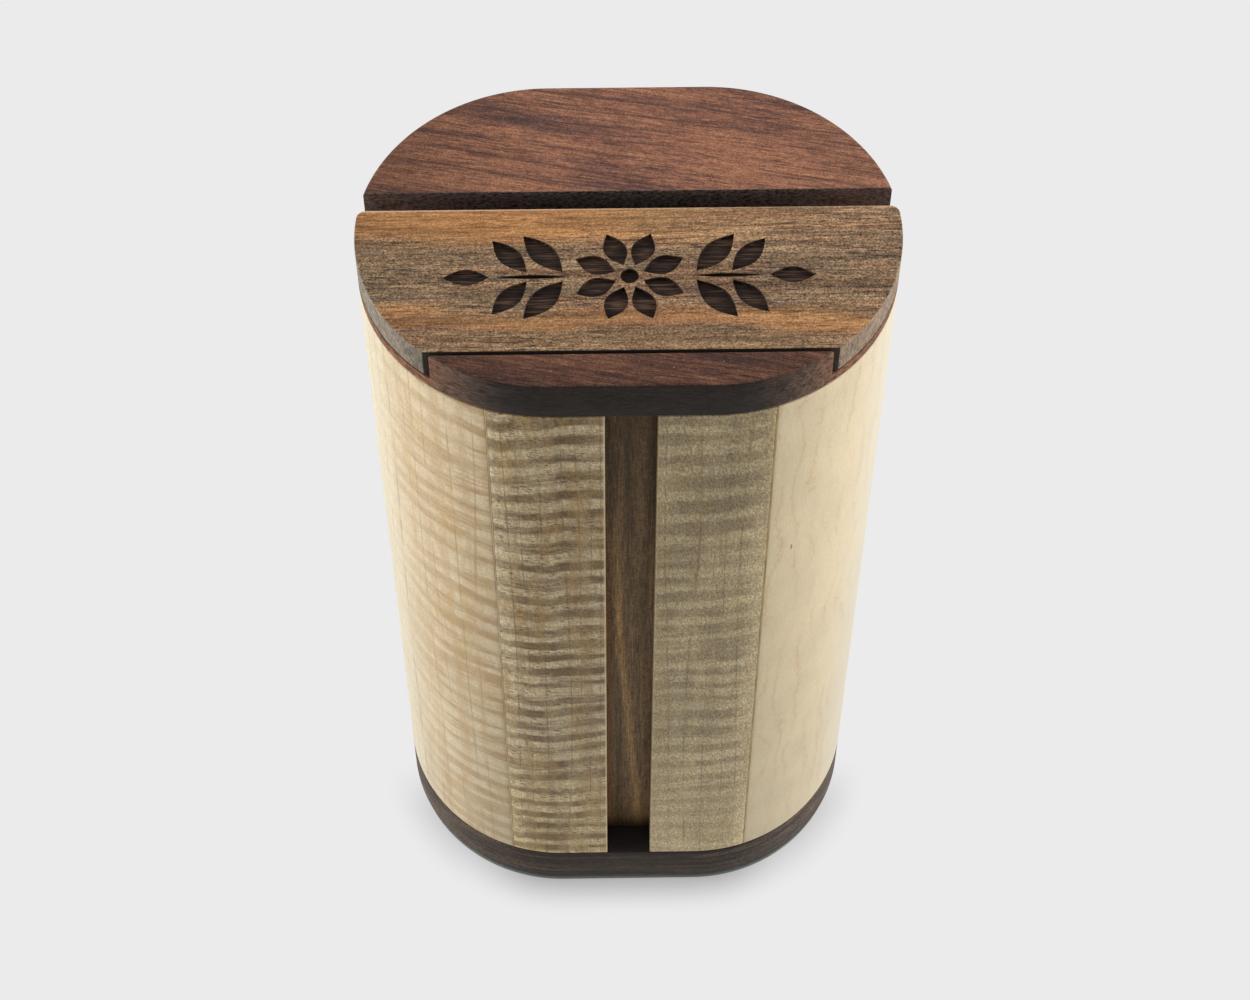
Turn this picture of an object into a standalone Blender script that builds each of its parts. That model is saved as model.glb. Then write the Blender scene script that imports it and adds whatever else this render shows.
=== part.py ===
"""Wooden donation box: a maple body on a walnut base, under a rosewood lid with an engraved panel.

Metres, +Z up. The origin is the middle of the underside, the front faces -Y and +X is to the right.
The plan is a stadium: flat front and rear faces between two half-round ends.
The lid lifts off along +Z. The engraved panel slides in the lid's dado along +X.
"""

import math

import bmesh
import bpy
from mathutils import Matrix, Vector

MM = 0.001

# Plan
END_RADIUS = 38.0 * MM          # half the depth: the round ends' radius
HALF_FLAT = 16.0 * MM           # half the length of the flat front and rear faces
ARC_STEP = math.radians(4.0)    # facets of the round surfaces
GAP = 0.3 * MM                  # clearance between pieces that touch or are glued

# Heights
TOTAL_HEIGHT = 208.0 * MM
LID_THICKNESS = 10.0 * MM
BASE_THICKNESS = 13.0 * MM
FELT_ZONE = 2.0 * MM            # felt and its glue line

# Felt
FELT_INSET = 0.5 * MM

# Body walls
WALL = 6.8 * MM                 # stave thickness
RECESS_WIDTH = 10.4 * MM        # slot between the left and right staves, front and rear
SEAM_X = 28.3 * MM              # where the front and rear staves meet the side staves
STRIP_WIDTH = 24.0 * MM         # walnut strips glued behind the slots
STRIP_THICKNESS = 5.7 * MM

# Lid
WEB_THICKNESS = 2.5 * MM        # wood left under the dado
DADO_REAR = 10.05 * MM          # front face of the rear part
DADO_FRONT = -30.4 * MM         # rear face of the front lip
COIN_SLOT_LENGTH = 42.0 * MM
COIN_SLOT_FRONT = 5.55 * MM
HATCH_LENGTH = 48.0 * MM
HATCH_FRONT = -20.0 * MM
HATCH_REAR = 0.0
RIM_HEIGHT = 8.0 * MM           # frame under the lid that drops inside the walls
RIM_WIDTH = 4.0 * MM
RIM_CLEARANCE = 0.5 * MM

# Sliding panel
PANEL_REAR = 5.75 * MM
PANEL_FRONT = -29.5 * MM
PANEL_CORNER = 2.0 * MM         # eased rear corners
KEY_LENGTH = 10.0 * MM          # guide block under the panel, running in the hatch
KEY_HEIGHT = 2.6 * MM
BATTEN_HEIGHT = 4.0 * MM        # cross-piece under the key that keeps the panel down
BATTEN_OVERLAP = 3.0 * MM

# Screws through batten and key into the panel
SCREW_LENGTH = 10.6 * MM
SCREW_SHANK = 1.3 * MM
SCREW_HEAD = 2.7 * MM
SCREW_HEAD_DEPTH = 1.5 * MM
SCREW_POINT = 2.0 * MM
SCREW_SLOT = (0.6 * MM, 0.6 * MM)   # width and depth of the driving slot
SCREW_SPACING = 12.0 * MM
SCREW_FIT = 0.3 * MM
SCREW_SIDES = 20

# Engraving: a rosette between two leafy sprigs
ENGRAVING_DEPTH = 0.9 * MM
ENGRAVING_Y = -11.5 * MM
PETALS = 8
PETAL_INNER = 2.9 * MM
PETAL_OUTER = 11.4 * MM
PETAL_WIDTH = 4.6 * MM
BUD_RADIUS = 1.8 * MM
BUD_SIDES = 16
SPRIG_START = 13.0 * MM
SPRIG_SPACING = 7.0 * MM
SPRIG_PAIRS = 2
LEAF_LENGTH = 12.0 * MM
LEAF_WIDTH = 5.0 * MM
LEAF_ANGLE = math.radians(50.0)
LEAF_OFFSET = 1.1 * MM
LEAF_SHRINK = 0.12              # each pair is this much smaller than the one before
TIP_LEAF_WIDTH = 0.8            # as a share of LEAF_WIDTH
STEM_WIDTH = 1.0 * MM
STEM_ROOT = 1.0 * MM            # the stem starts this much before the first leaves

# Worked out from the above
BASE_TOP = FELT_ZONE + BASE_THICKNESS
LID_BOTTOM = TOTAL_HEIGHT - LID_THICKNESS
WEB_TOP = LID_BOTTOM + WEB_THICKNESS
RIM_TOP = LID_BOTTOM - GAP
RIM_BOTTOM = RIM_TOP - RIM_HEIGHT
PANEL_BOTTOM = WEB_TOP + GAP
KEY_TOP = PANEL_BOTTOM - GAP
KEY_BOTTOM = KEY_TOP - KEY_HEIGHT
BATTEN_TOP = KEY_BOTTOM - GAP
BATTEN_BOTTOM = BATTEN_TOP - BATTEN_HEIGHT
KEY_LEFT = -HATCH_LENGTH / 2 + GAP
KEY_MIDDLE_X = KEY_LEFT + KEY_LENGTH / 2
KEY_MIDDLE_Y = (HATCH_FRONT + HATCH_REAR) / 2
INNER_FACE = END_RADIUS - WALL
BEYOND = 5.0 * MM               # how far a cutter runs past the face it opens


# ---------------------------------------------------------------- scene

def clear_scene():
    for obj in list(bpy.data.objects):
        bpy.data.objects.remove(obj, do_unlink=True)


def new_collection(name):
    collection = bpy.data.collections.new(name)
    bpy.context.scene.collection.children.link(collection)
    return collection


def material(name, colour, roughness, metallic=0.0):
    mat = bpy.data.materials.new(name)
    mat.use_nodes = True
    bsdf = mat.node_tree.nodes["Principled BSDF"]
    bsdf.inputs["Base Color"].default_value = (*colour, 1.0)
    bsdf.inputs["Roughness"].default_value = roughness
    bsdf.inputs["Metallic"].default_value = metallic
    mat.diffuse_color = (*colour, 1.0)
    return mat


def joint_empty(name, location):
    empty = bpy.data.objects.new(name, None)
    empty.empty_display_size = 0.02
    empty.location = location
    parts.objects.link(empty)
    return empty


# ---------------------------------------------------------------- outlines

def arc(centre_x, radius, start, end):
    """Points on an arc about (centre_x, 0), both ends included."""
    steps = max(1, math.ceil(abs(end - start) / ARC_STEP - 1e-6))
    angles = [start + (end - start) * i / steps for i in range(steps + 1)]
    return [(centre_x + radius * math.cos(a), radius * math.sin(a)) for a in angles]


def stadium(radius):
    """Anticlockwise outline around the two end centres."""
    quarter = math.pi / 2
    right = arc(HALF_FLAT, radius, -quarter, quarter)
    left = arc(-HALF_FLAT, radius, quarter, 3 * quarter)
    return right + left


def mirrored(points, flip_x=False, flip_y=False):
    """The outline in another quarter of the plan, still anticlockwise."""
    sx = -1 if flip_x else 1
    sy = -1 if flip_y else 1
    flipped = [(x * sx, y * sy) for x, y in points]
    return flipped[::-1] if sx * sy < 0 else flipped


def front_stave_outline():
    """Right-hand front stave: a flat run from the slot, then the start of the round end."""
    seam_angle = math.asin((SEAM_X - HALF_FLAT) / END_RADIUS) - GAP / 2 / END_RADIUS
    start = -math.pi / 2
    outer = arc(HALF_FLAT, END_RADIUS, start, start + seam_angle)
    inner = arc(HALF_FLAT, INNER_FACE, start + seam_angle, start)
    edge = RECESS_WIDTH / 2
    return [(edge, -END_RADIUS)] + outer + inner + [(edge, -INNER_FACE)]


def side_stave_outline():
    """Right-hand side stave: most of the half-round end."""
    seam_angle = math.asin((SEAM_X - HALF_FLAT) / END_RADIUS) + GAP / 2 / END_RADIUS
    reach = math.pi / 2 - seam_angle
    outer = arc(HALF_FLAT, END_RADIUS, -reach, reach)
    inner = arc(HALF_FLAT, INNER_FACE, reach, -reach)
    return outer + inner


def panel_outline():
    """Straight front and rear edges, ends on the box's round ends, eased rear corners."""
    front_angle = math.asin(PANEL_FRONT / END_RADIUS)
    corner_y = PANEL_REAR - PANEL_CORNER
    corner_x = math.sqrt((END_RADIUS - PANEL_CORNER) ** 2 - corner_y ** 2)
    rear_angle = math.atan2(corner_y, corner_x)
    right = arc(HALF_FLAT, END_RADIUS, front_angle, rear_angle)
    corner = arc(0.0, PANEL_CORNER, rear_angle, math.pi / 2)
    right += [(HALF_FLAT + corner_x + x, corner_y + y) for x, y in corner[1:]]
    return right + [(-x, y) for x, y in reversed(right)]


def leaf_outline(base_x, base_y, length, width, angle, steps=7):
    """Pointed leaf from its base, made of two matching bows."""
    bow = [(length * i / steps, width / 2 * math.sin(math.pi * i / steps)) for i in range(steps + 1)]
    loop = [(x, -y) for x, y in bow] + [(x, y) for x, y in reversed(bow[1:-1])]
    c, s = math.cos(angle), math.sin(angle)
    return [(base_x + x * c - y * s, base_y + x * s + y * c) for x, y in loop]


def engraving_outlines():
    outlines = []
    for i in range(PETALS):
        angle = 2 * math.pi * (i + 0.5) / PETALS
        x = PETAL_INNER * math.cos(angle)
        y = PETAL_INNER * math.sin(angle)
        outlines.append(leaf_outline(x, y, PETAL_OUTER - PETAL_INNER, PETAL_WIDTH, angle))
    bud_angles = [2 * math.pi * i / BUD_SIDES for i in range(BUD_SIDES)]
    outlines.append([(BUD_RADIUS * math.cos(a), BUD_RADIUS * math.sin(a)) for a in bud_angles])
    stem_end = SPRIG_START + SPRIG_SPACING * SPRIG_PAIRS
    for side in (1, -1):
        heading = 0.0 if side > 0 else math.pi
        for i in range(SPRIG_PAIRS):
            size = 1 - LEAF_SHRINK * i
            x = side * (SPRIG_START + SPRIG_SPACING * i)
            for up in (1, -1):
                angle = heading + side * up * LEAF_ANGLE
                outlines.append(leaf_outline(x, up * LEAF_OFFSET, LEAF_LENGTH * size,
                                             LEAF_WIDTH * size, angle))
        tip = LEAF_LENGTH * (1 - LEAF_SHRINK * SPRIG_PAIRS)
        outlines.append(leaf_outline(side * (stem_end + GAP), 0.0, tip, LEAF_WIDTH * TIP_LEAF_WIDTH, heading))
        outlines.append(leaf_outline(side * (SPRIG_START - STEM_ROOT), 0.0, stem_end - SPRIG_START,
                                     STEM_WIDTH, heading))
    return [[(x, y + ENGRAVING_Y) for x, y in outline] for outline in outlines]


# ---------------------------------------------------------------- solids

def add_object(name, mesh, collection, mat=None, parent=None):
    obj = bpy.data.objects.new(name, mesh)
    collection.objects.link(obj)
    if mat:
        mesh.materials.append(mat)
    if parent:
        obj.parent = parent
        mesh.transform(Matrix.Translation(-parent.location))
    return obj


def as_cutter(obj):
    obj.hide_render = True
    obj.display_type = "WIRE"
    return obj


def prism_mesh(name, outlines, bottom, top):
    """Straight-sided solid over one or more flat outlines. An outline inside another is a hole."""
    curve = bpy.data.curves.new(name, "CURVE")
    curve.dimensions = "2D"
    curve.fill_mode = "BOTH"
    curve.extrude = (top - bottom) / 2
    for outline in outlines:
        spline = curve.splines.new("POLY")
        spline.points.add(len(outline) - 1)
        for point, (x, y) in zip(spline.points, outline):
            point.co = (x, y, 0.0, 1.0)
        spline.use_cyclic_u = True
    holder = bpy.data.objects.new(name + "_outline", curve)
    holder.location.z = (top + bottom) / 2
    bpy.context.scene.collection.objects.link(holder)
    bpy.context.view_layer.update()
    mesh = bpy.data.meshes.new_from_object(holder.evaluated_get(bpy.context.evaluated_depsgraph_get()))
    mesh.name = name
    mesh.transform(holder.matrix_world)
    bpy.data.objects.remove(holder, do_unlink=True)
    bpy.data.curves.remove(curve)
    tidy_mesh(mesh)
    return mesh


def tidy_mesh(mesh):
    """Weld the caps to the walls and turn all faces outwards."""
    bm = bmesh.new()
    bm.from_mesh(mesh)
    bmesh.ops.remove_doubles(bm, verts=bm.verts, dist=1e-6)
    bmesh.ops.recalc_face_normals(bm, faces=bm.faces)
    bm.to_mesh(mesh)
    bm.free()


def box_mesh(name, low, high):
    size = [h - l for l, h in zip(low, high)]
    middle = [(h + l) / 2 for l, h in zip(low, high)]
    bm = bmesh.new()
    bmesh.ops.create_cube(bm, size=1.0, matrix=Matrix.Translation(middle) @ Matrix.Diagonal((*size, 1.0)))
    mesh = bpy.data.meshes.new(name)
    bm.to_mesh(mesh)
    bm.free()
    return mesh


def cylinder_mesh(name, spots, radius, bottom, top):
    """One upright cylinder at each (x, y) spot."""
    bm = bmesh.new()
    for x, y in spots:
        place = Matrix.Translation((x, y, (top + bottom) / 2))
        bmesh.ops.create_cone(bm, cap_ends=True, segments=SCREW_SIDES, radius1=radius, radius2=radius,
                              depth=top - bottom, matrix=place)
    mesh = bpy.data.meshes.new(name)
    bm.to_mesh(mesh)
    bm.free()
    return mesh


def cut(obj, name, mesh):
    """Take the cutter's shape out of the object."""
    cutter = as_cutter(add_object(name, mesh, cutters, parent=obj.parent))
    boolean = obj.modifiers.new(name, "BOOLEAN")
    boolean.operation = "DIFFERENCE"
    boolean.solver = "EXACT"
    boolean.object = cutter


# ---------------------------------------------------------------- box body

def build_base():
    add_object("felt_pad", prism_mesh("felt_pad", [stadium(END_RADIUS - FELT_INSET)], 0.0, FELT_ZONE - GAP),
               parts, green_felt)
    add_object("base_plate", prism_mesh("base_plate", [stadium(END_RADIUS)], FELT_ZONE, BASE_TOP),
               parts, walnut)


def build_walls():
    bottom = BASE_TOP + GAP
    top = LID_BOTTOM - GAP
    front = front_stave_outline()
    side = side_stave_outline()
    staves = {
        "front_right_stave": front,
        "front_left_stave": mirrored(front, flip_x=True),
        "rear_right_stave": mirrored(front, flip_y=True),
        "rear_left_stave": mirrored(front, flip_x=True, flip_y=True),
        "right_side_stave": side,
        "left_side_stave": mirrored(side, flip_x=True),
    }
    for name, outline in staves.items():
        add_object(name, prism_mesh(name, [outline], bottom, top), parts, maple)


def build_strips():
    bottom = BASE_TOP + GAP
    top = RIM_BOTTOM - GAP
    near = INNER_FACE - GAP
    for name, side in (("front_strip", -1), ("rear_strip", 1)):
        ys = sorted((side * near, side * (near - STRIP_THICKNESS)))
        mesh = box_mesh(name, (-STRIP_WIDTH / 2, ys[0], bottom), (STRIP_WIDTH / 2, ys[1], top))
        add_object(name, mesh, parts, walnut)


# ---------------------------------------------------------------- lid

def build_lid():
    lid_axis = joint_empty("lid_lift_axis", (0.0, 0.0, LID_BOTTOM))
    plate = add_object("lid_plate", prism_mesh("lid_plate", [stadium(END_RADIUS)], LID_BOTTOM, TOTAL_HEIGHT),
                       parts, rosewood, lid_axis)
    across = HALF_FLAT + END_RADIUS + BEYOND
    cut(plate, "dado_cutter", box_mesh("dado_cutter", (-across, DADO_FRONT, WEB_TOP),
                                       (across, DADO_REAR, TOTAL_HEIGHT + BEYOND)))
    cut(plate, "coin_slot_cutter",
        box_mesh("coin_slot_cutter", (-COIN_SLOT_LENGTH / 2, COIN_SLOT_FRONT, LID_BOTTOM - BEYOND),
                 (COIN_SLOT_LENGTH / 2, DADO_REAR, WEB_TOP + BEYOND)))
    cut(plate, "hatch_cutter",
        box_mesh("hatch_cutter", (-HATCH_LENGTH / 2, HATCH_FRONT, LID_BOTTOM - BEYOND),
                 (HATCH_LENGTH / 2, HATCH_REAR, WEB_TOP + BEYOND)))
    outer = INNER_FACE - RIM_CLEARANCE
    rim = prism_mesh("lid_rim", [stadium(outer), stadium(outer - RIM_WIDTH)], RIM_BOTTOM, RIM_TOP)
    add_object("lid_rim", rim, parts, maple, lid_axis)
    return lid_axis


# ---------------------------------------------------------------- sliding panel

def screw_mesh(name):
    """Countersunk wood screw, head down, as a turned profile with a driving slot."""
    profile = [(0.0, SCREW_LENGTH), (SCREW_SHANK, SCREW_LENGTH - SCREW_POINT),
               (SCREW_SHANK, SCREW_HEAD_DEPTH), (SCREW_HEAD, 0.0), (0.0, 0.0)]
    mesh = bpy.data.meshes.new(name + "_profile")
    edges = [(i, i + 1) for i in range(len(profile) - 1)]
    mesh.from_pydata([(r, 0.0, z) for r, z in profile], edges, [])
    holder = bpy.data.objects.new(name + "_profile", mesh)
    bpy.context.scene.collection.objects.link(holder)
    turn = holder.modifiers.new("turn", "SCREW")
    turn.steps = SCREW_SIDES
    turn.render_steps = SCREW_SIDES
    turn.use_merge_vertices = True
    turn.merge_threshold = 0.00001
    slot_width, slot_depth = SCREW_SLOT
    slot_mesh = box_mesh(name + "_slot", (-2 * SCREW_HEAD, -slot_width / 2, -BEYOND),
                         (2 * SCREW_HEAD, slot_width / 2, slot_depth))
    slot_cutter = bpy.data.objects.new(name + "_slot", slot_mesh)
    bpy.context.scene.collection.objects.link(slot_cutter)
    slot = holder.modifiers.new("slot", "BOOLEAN")
    slot.solver = "EXACT"
    slot.object = slot_cutter
    bpy.context.view_layer.update()
    made = bpy.data.meshes.new_from_object(holder.evaluated_get(bpy.context.evaluated_depsgraph_get()))
    for helper in (holder, slot_cutter):
        bpy.data.objects.remove(helper, do_unlink=True)
    tidy_mesh(made)
    return made


def build_panel(lid_axis):
    slide_axis = joint_empty("panel_slide_axis", (0.0, KEY_MIDDLE_Y, PANEL_BOTTOM))
    panel = add_object("engraved_panel",
                       prism_mesh("engraved_panel", [panel_outline()], PANEL_BOTTOM, TOTAL_HEIGHT),
                       parts, light_walnut, slide_axis)
    cut(panel, "engraving_cutter",
        prism_mesh("engraving_cutter", engraving_outlines(), TOTAL_HEIGHT - ENGRAVING_DEPTH,
                   TOTAL_HEIGHT + BEYOND))

    key = add_object("panel_key", box_mesh(
        "panel_key", (KEY_LEFT, HATCH_FRONT + GAP, KEY_BOTTOM),
        (KEY_LEFT + KEY_LENGTH, HATCH_REAR - GAP, KEY_TOP)), parts, maple, slide_axis)
    batten = add_object("key_batten", box_mesh(
        "key_batten", (KEY_LEFT, HATCH_FRONT - BATTEN_OVERLAP, BATTEN_BOTTOM),
        (KEY_LEFT + KEY_LENGTH, HATCH_REAR + BATTEN_OVERLAP, BATTEN_TOP)), parts, maple, slide_axis)

    spots = [(KEY_MIDDLE_X, KEY_MIDDLE_Y + side * SCREW_SPACING / 2) for side in (-1, 1)]
    hole = SCREW_SHANK + SCREW_FIT
    tip = BATTEN_BOTTOM + SCREW_LENGTH
    for piece, top in ((panel, tip + GAP), (key, KEY_TOP + BEYOND), (batten, BATTEN_TOP + BEYOND)):
        name = piece.name + "_hole_cutter"
        cut(piece, name, cylinder_mesh(name, spots, hole, BATTEN_BOTTOM - BEYOND, top))
    cut(batten, "countersink_cutter", countersink_mesh("countersink_cutter", spots))

    turned = screw_mesh("key_screw")
    turned.materials.append(brass)
    turned.shade_smooth()
    turned.set_sharp_from_angle(angle=math.radians(30))
    for name, (x, y) in zip(("key_screw_front", "key_screw_rear"), spots):
        screw = add_object(name, turned, parts)
        screw.parent = slide_axis
        screw.location = Vector((x, y, BATTEN_BOTTOM)) - slide_axis.location


def countersink_mesh(name, spots):
    """A cone at each spot that widens to the screw head at the batten's underside."""
    slope = (SCREW_HEAD - SCREW_SHANK) / SCREW_HEAD_DEPTH
    below = 1.0 * MM
    mouth = SCREW_HEAD + SCREW_FIT + below * slope
    throat = SCREW_SHANK + SCREW_FIT / 2
    depth = (mouth - throat) / slope
    bm = bmesh.new()
    for x, y in spots:
        place = Matrix.Translation((x, y, BATTEN_BOTTOM - below + depth / 2))
        bmesh.ops.create_cone(bm, cap_ends=True, segments=SCREW_SIDES, radius1=mouth, radius2=throat,
                              depth=depth, matrix=place)
    mesh = bpy.data.meshes.new(name)
    bm.to_mesh(mesh)
    bm.free()
    return mesh


clear_scene()
parts = new_collection("donation_box")
cutters = new_collection("cutters")

maple = material("maple", (0.62, 0.49, 0.32), 0.45)
walnut = material("walnut", (0.055, 0.036, 0.026), 0.5)
light_walnut = material("light_walnut", (0.22, 0.14, 0.08), 0.55)
rosewood = material("rosewood", (0.16, 0.065, 0.045), 0.4)
green_felt = material("green_felt", (0.02, 0.05, 0.035), 0.95)
brass = material("brass", (0.7, 0.5, 0.22), 0.3, 1.0)

build_base()
build_walls()
build_strips()
build_panel(build_lid())
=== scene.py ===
import math

import bmesh
import bpy
from mathutils import Matrix, Vector


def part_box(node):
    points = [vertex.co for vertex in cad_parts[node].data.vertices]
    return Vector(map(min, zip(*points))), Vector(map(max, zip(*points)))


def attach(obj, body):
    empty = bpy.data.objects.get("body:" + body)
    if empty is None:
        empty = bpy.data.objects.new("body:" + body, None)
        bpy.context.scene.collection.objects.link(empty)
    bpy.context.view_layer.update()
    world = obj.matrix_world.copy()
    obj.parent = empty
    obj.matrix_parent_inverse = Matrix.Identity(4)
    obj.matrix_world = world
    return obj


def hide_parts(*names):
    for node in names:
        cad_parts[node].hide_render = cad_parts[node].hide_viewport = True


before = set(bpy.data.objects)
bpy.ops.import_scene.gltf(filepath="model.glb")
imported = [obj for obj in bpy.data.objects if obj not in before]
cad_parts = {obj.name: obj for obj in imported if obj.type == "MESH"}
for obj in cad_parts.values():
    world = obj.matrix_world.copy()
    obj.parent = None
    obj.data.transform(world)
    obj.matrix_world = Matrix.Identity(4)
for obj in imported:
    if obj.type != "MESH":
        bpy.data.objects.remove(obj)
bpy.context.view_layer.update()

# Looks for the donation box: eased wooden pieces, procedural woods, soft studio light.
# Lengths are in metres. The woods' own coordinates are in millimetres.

MM = 0.001


# ---------------------------------------------------------------- measures

LID_LOW, LID_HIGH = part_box("lid_plate")
PANEL_LOW, PANEL_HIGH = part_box("engraved_panel")
BASE_LOW, BASE_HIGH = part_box("base_plate")
FELT_LOW, FELT_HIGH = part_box("felt_pad")
STAVE_LOW, STAVE_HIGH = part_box("front_right_stave")
RIM_LOW, RIM_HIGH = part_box("lid_rim")

END_RADIUS = LID_HIGH.y
HALF_FLAT = LID_HIGH.x - END_RADIUS
RECESS_HALF = STAVE_LOW.x
GAP = LID_LOW.z - STAVE_HIGH.z
INNER_FACE = -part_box("front_strip")[0].y + GAP
SEAM_ANGLE = math.asin((STAVE_HIGH.x - HALF_FLAT) / END_RADIUS) + GAP / 2 / END_RADIUS
RIM_RADIUS = RIM_HIGH.y
SEAM_RUN = (HALF_FLAT + SEAM_ANGLE * END_RADIUS) / MM

# The lid's and the panel's cuts and corners, as in the CAD
WEB_TOP = PANEL_LOW.z - GAP
DADO_REAR = 10.05 * MM
DADO_FRONT = -30.4 * MM
COIN_SLOT_LENGTH = 42.0 * MM
COIN_SLOT_FRONT = 5.55 * MM
HATCH_LENGTH = 48.0 * MM
HATCH_FRONT = -20.0 * MM
HATCH_REAR = 0.0
RIM_WIDTH = 4.0 * MM
PANEL_CORNER = 2.0 * MM

# Rounding of the pieces' edges: lower and upper edge, or one radius for all edges
BASE_EASE = (1.0 * MM, 0.25 * MM)
FELT_EASE = (0.35 * MM, 0.2 * MM)
LID_EASE = (0.3 * MM, 0.6 * MM)
PANEL_EASE = (0.25 * MM, 0.3 * MM)
PANEL_FRONT_CORNER = 0.5 * MM
STAVE_EASE = 0.18 * MM
STRIP_EASE = 0.3 * MM
LID_CUT_EASE = 0.2 * MM
RIM_EASE = 0.6 * MM
KEY_EASE = 0.3 * MM

GLUE_BELOW = 0.04 * MM     # how far the glue lies below the faces of the staves
GLUE_CLEARANCE = 0.08      # how much of half the seam stays open at each side of the glue
ARC_STEP = math.radians(1.5)
BEYOND = 5.0 * MM          # how far a cutter runs past the face it opens


# ---------------------------------------------------------------- outlines

def arc(centre_x, radius, start, end, centre_y=0.0):
    steps = max(1, math.ceil(abs(end - start) / ARC_STEP - 1e-6))
    angles = [start + (end - start) * i / steps for i in range(steps + 1)]
    return [(centre_x + radius * math.cos(a), centre_y + radius * math.sin(a)) for a in angles]


def stadium(radius):
    quarter = math.pi / 2
    right = arc(HALF_FLAT, radius, -quarter, quarter)
    return right + arc(-HALF_FLAT, radius, quarter, 3 * quarter)


def mirrored(points, flip_x=False, flip_y=False):
    sx = -1 if flip_x else 1
    sy = -1 if flip_y else 1
    flipped = [(x * sx, y * sy) for x, y in points]
    return flipped[::-1] if sx * sy < 0 else flipped


def front_stave_outline():
    turn = SEAM_ANGLE - GAP / 2 / END_RADIUS
    start = -math.pi / 2
    outer = arc(HALF_FLAT, END_RADIUS, start, start + turn)
    inner = arc(HALF_FLAT, INNER_FACE, start + turn, start)
    return [(RECESS_HALF, -END_RADIUS)] + outer + inner + [(RECESS_HALF, -INNER_FACE)]


def side_stave_outline():
    reach = math.pi / 2 - SEAM_ANGLE - GAP / 2 / END_RADIUS
    return arc(HALF_FLAT, END_RADIUS, -reach, reach) + arc(HALF_FLAT, INNER_FACE, reach, -reach)


def panel_outline(inset=0.0):
    """The panel's plan, drawn in by inset all round. Its corners are rounded, more behind than in front."""
    radius = END_RADIUS - inset
    rear = PANEL_HIGH.y - inset
    front = PANEL_LOW.y + inset
    rear_corner = PANEL_CORNER - inset
    front_corner = PANEL_FRONT_CORNER
    rear_y = rear - rear_corner
    front_y = front + front_corner
    rear_x = math.sqrt((radius - rear_corner) ** 2 - rear_y ** 2)
    front_x = math.sqrt((radius - front_corner) ** 2 - front_y ** 2)
    low = math.atan2(front_y, front_x)
    high = math.atan2(rear_y, rear_x)
    right = arc(HALF_FLAT + front_x, front_corner, -math.pi / 2, low, front_y)
    right += arc(HALF_FLAT, radius, low, high)[1:-1]
    right += arc(HALF_FLAT + rear_x, rear_corner, high, math.pi / 2, rear_y)
    return right + [(-x, y) for x, y in reversed(right)]


# ---------------------------------------------------------------- meshes

def mesh_object(name, bm):
    mesh = bpy.data.meshes.new(name)
    bmesh.ops.recalc_face_normals(bm, faces=bm.faces)
    bm.to_mesh(mesh)
    bm.free()
    obj = bpy.data.objects.new(name, mesh)
    bpy.context.scene.collection.objects.link(obj)
    return obj


def loop_faces(bm, lower, upper):
    count = len(lower)
    for i in range(count):
        j = (i + 1) % count
        bm.faces.new((lower[i], lower[j], upper[j], upper[i]))


def prism(name, outline, low, high):
    bm = bmesh.new()
    bottom = [bm.verts.new((x, y, low)) for x, y in outline]
    top = [bm.verts.new((x, y, high)) for x, y in outline]
    bm.faces.new(bottom[::-1])
    bm.faces.new(top)
    loop_faces(bm, bottom, top)
    return mesh_object(name, bm)


def eased_rings(low, high, low_ease, high_ease, steps=4):
    """(inset, height) of each ring of a straight wall whose lower and upper edges are rounded."""
    rings = []
    for i in range(steps + 1):
        turn = math.pi / 2 * i / steps
        rings.append((low_ease * (1 - math.sin(turn)), low + low_ease * (1 - math.cos(turn))))
    for i in range(steps + 1):
        turn = math.pi / 2 * i / steps
        rings.append((high_ease * (1 - math.cos(turn)), high - high_ease * (1 - math.sin(turn))))
    return rings


def eased_prism(name, outline_at, low, high, low_ease, high_ease):
    """A prism with rounded edges. outline_at(inset) gives the outline drawn in by inset."""
    bm = bmesh.new()
    loops = []
    for inset, z in eased_rings(low, high, low_ease, high_ease):
        loops.append([bm.verts.new((x, y, z)) for x, y in outline_at(inset)])
    for lower, upper in zip(loops, loops[1:]):
        loop_faces(bm, lower, upper)
    bm.faces.new(loops[0][::-1])
    bm.faces.new(loops[-1])
    return mesh_object(name, bm)


def eased_ring(name, outer, inner, low, high, ease):
    """A frame between two stadiums, with its four edges rounded."""
    bm = bmesh.new()
    loops = []
    for inset, z in eased_rings(low, high, ease, ease):
        loops.append([bm.verts.new((x, y, z)) for x, y in stadium(outer - inset)])
    for inset, z in reversed(eased_rings(low, high, ease, ease)):
        loops.append([bm.verts.new((x, y, z)) for x, y in stadium(inner + inset)])
    for lower, upper in zip(loops, loops[1:] + loops[:1]):
        loop_faces(bm, lower, upper)
    return mesh_object(name, bm)


def box(name, low, high):
    size = [h - l for l, h in zip(low, high)]
    middle = [(h + l) / 2 for l, h in zip(low, high)]
    bm = bmesh.new()
    bmesh.ops.create_cube(bm, size=1.0, matrix=Matrix.Translation(middle) @ Matrix.Diagonal((*size, 1.0)))
    return mesh_object(name, bm)


def bevel(obj, width, angle=50.0):
    """Round the edges that turn by more than the angle, in degrees."""
    modifier = obj.modifiers.new("ease", "BEVEL")
    modifier.width = width
    modifier.segments = 2
    modifier.limit_method = "ANGLE"
    modifier.angle_limit = math.radians(angle)


def subtract(obj, cutter):
    modifier = obj.modifiers.new("cut", "BOOLEAN")
    modifier.operation = "DIFFERENCE"
    modifier.solver = "EXACT"
    modifier.object = cutter
    cutter.hide_render = True


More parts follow.
